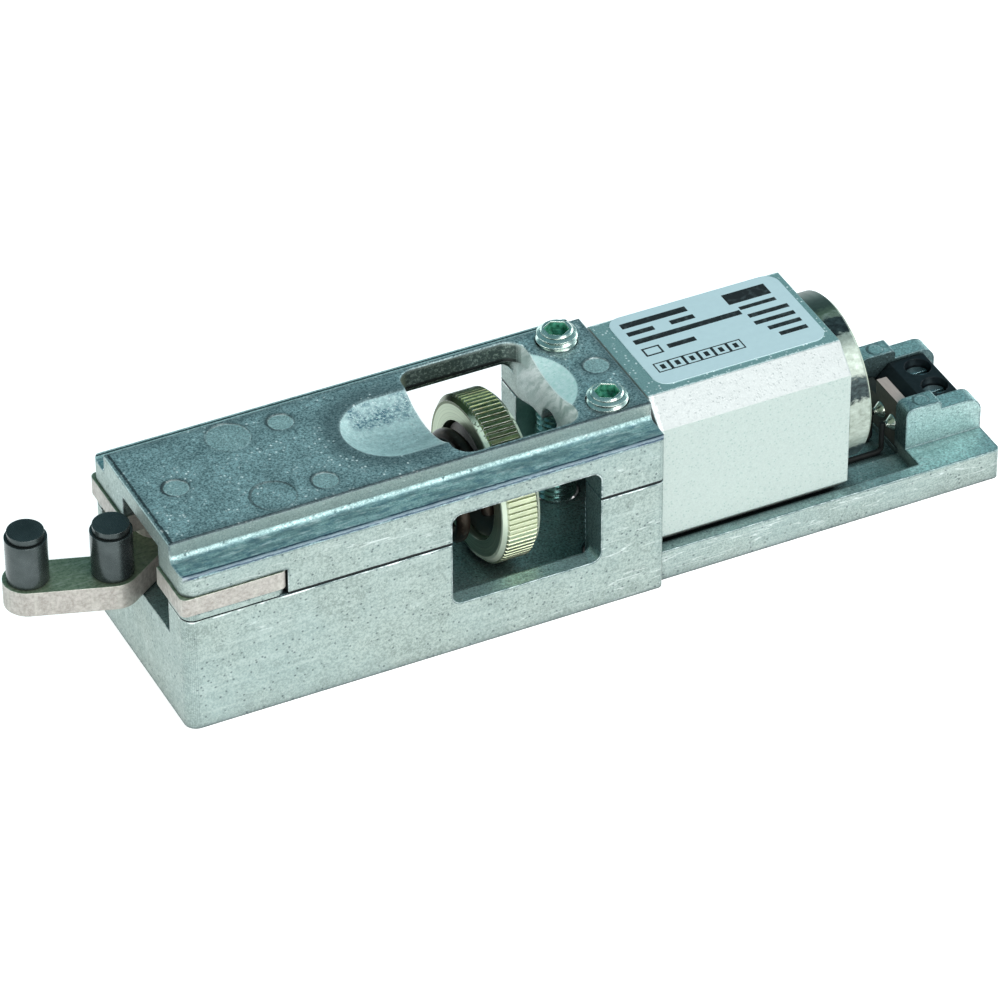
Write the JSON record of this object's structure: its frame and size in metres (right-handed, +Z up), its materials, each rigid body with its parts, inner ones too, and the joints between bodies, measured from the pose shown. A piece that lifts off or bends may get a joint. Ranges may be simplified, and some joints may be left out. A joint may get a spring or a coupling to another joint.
{
  "type": "electromagnetic door holder",
  "caption": "Electromagnetic door holder for a slide rail: cast body with catch rollers on a lever, spring with knurled adjusting wheel, holding magnet and terminal block.",
  "frame": {"origin": "on the underside, in the middle of its width, below the plane where the casting ends and the magnet begins", "axes": "+X towards the terminals, +Y towards the far side, +Z up through the set screws"},
  "size_m": [0.1468, 0.032, 0.0313],
  "materials": {
    "casting": "as cast, grainy",
    "plated_plate": "zinc plated, satin",
    "dark_steel": "blackened, glossy",
    "plain_steel": "turned",
    "spring_steel": "oiled, dark",
    "yellow_zinc": "yellow passivated zinc",
    "nickel": "nickel plated, bright",
    "silver_paint": "fine textured silver paint",
    "bobbin_plastic": "moulded",
    "copper": "enamelled wire",
    "label": "printed film",
    "zinc_screw": "zinc plated",
    "board": "glass fibre laminate",
    "black_plastic": "moulded",
    "solder": "tin solder",
    "lead_insulation": "insulation"
  },
  "bodies": {
    "body": {"upper_casting": "casting", "lower_casting": "casting", "guide_plate": "plated_plate", "pivot_pin": "plain_steel", "compression_spring": "spring_steel", "coil_housing": "silver_paint", "pole_core": "plain_steel", "coil_bobbin": "bobbin_plastic", "coil_winding": "copper", "rating_label": "label", "set_screw_front": "zinc_screw", "set_screw_rear": "zinc_screw", "assembly_screws": "zinc_screw", "magnet_screws": "zinc_screw", "circuit_board": "board", "terminal_block": "black_plastic", "terminal_screws": "zinc_screw", "wire_clamps": "plain_steel", "terminal_pins": "solder", "coil_leads": "lead_insulation"},
    "armature": {"armature_disc": "nickel", "spindle": "plain_steel", "spindle_nut": "zinc_screw"},
    "wheel_seat": {"spring_washer": "plain_steel"},
    "wheel": {"adjusting_wheel": "yellow_zinc"},
    "catch": {"catch_lever": "plated_plate", "roller_pins": "dark_steel"},
    "inner_roller": {"inner_roller": "dark_steel"},
    "outer_roller": {"outer_roller": "dark_steel"},
    "thrust": {"thrust_piece": "plain_steel"}
  },
  "joints": [
    {"name": "armature_release", "type": "slide", "parent": "body", "child": "armature", "axis": [1, 0, 0], "range_m": [0, 0.004], "deforming": ["compression_spring"]},
    {"name": "wheel_travel", "type": "slide", "parent": "armature", "child": "wheel_seat", "axis": [1, 0, 0], "range_m": [-0.003, 0.003], "deforming": ["compression_spring"]},
    {"name": "wheel_turn", "type": "hinge", "parent": "wheel_seat", "child": "wheel", "pos_m": [-0.0203, 0, 0.0158], "axis": [1, 0, 0], "range_deg": [-1080, 1080]},
    {"name": "catch_swing", "type": "hinge", "parent": "body", "child": "catch", "pos_m": [-0.0662, 0.008, 0.0158], "axis": [0, 0, 1], "range_deg": [0, 10], "stiffness_Nm_per_rad": 0.72},
    {"name": "thrust_slide", "type": "slide", "parent": "body", "child": "thrust", "axis": [1, 0, 0], "range_m": [0, 0.0015], "deforming": ["compression_spring"]},
    {"name": "inner_roller_spin", "type": "hinge", "parent": "catch", "child": "inner_roller", "pos_m": [-0.0768, 0.0006, 0.0214], "axis": [0, 0, 1], "continuous": true},
    {"name": "outer_roller_spin", "type": "hinge", "parent": "catch", "child": "outer_roller", "pos_m": [-0.0879, 0.0043, 0.0214], "axis": [0, 0, 1], "continuous": true}
  ],
  "couplings": [
    {"joint": "wheel_travel", "follows": "wheel_turn", "m_per_rad": 0.00015915},
    {"joint": "thrust_slide", "follows": "catch_swing", "m_per_rad": 0.0085}
  ]
}
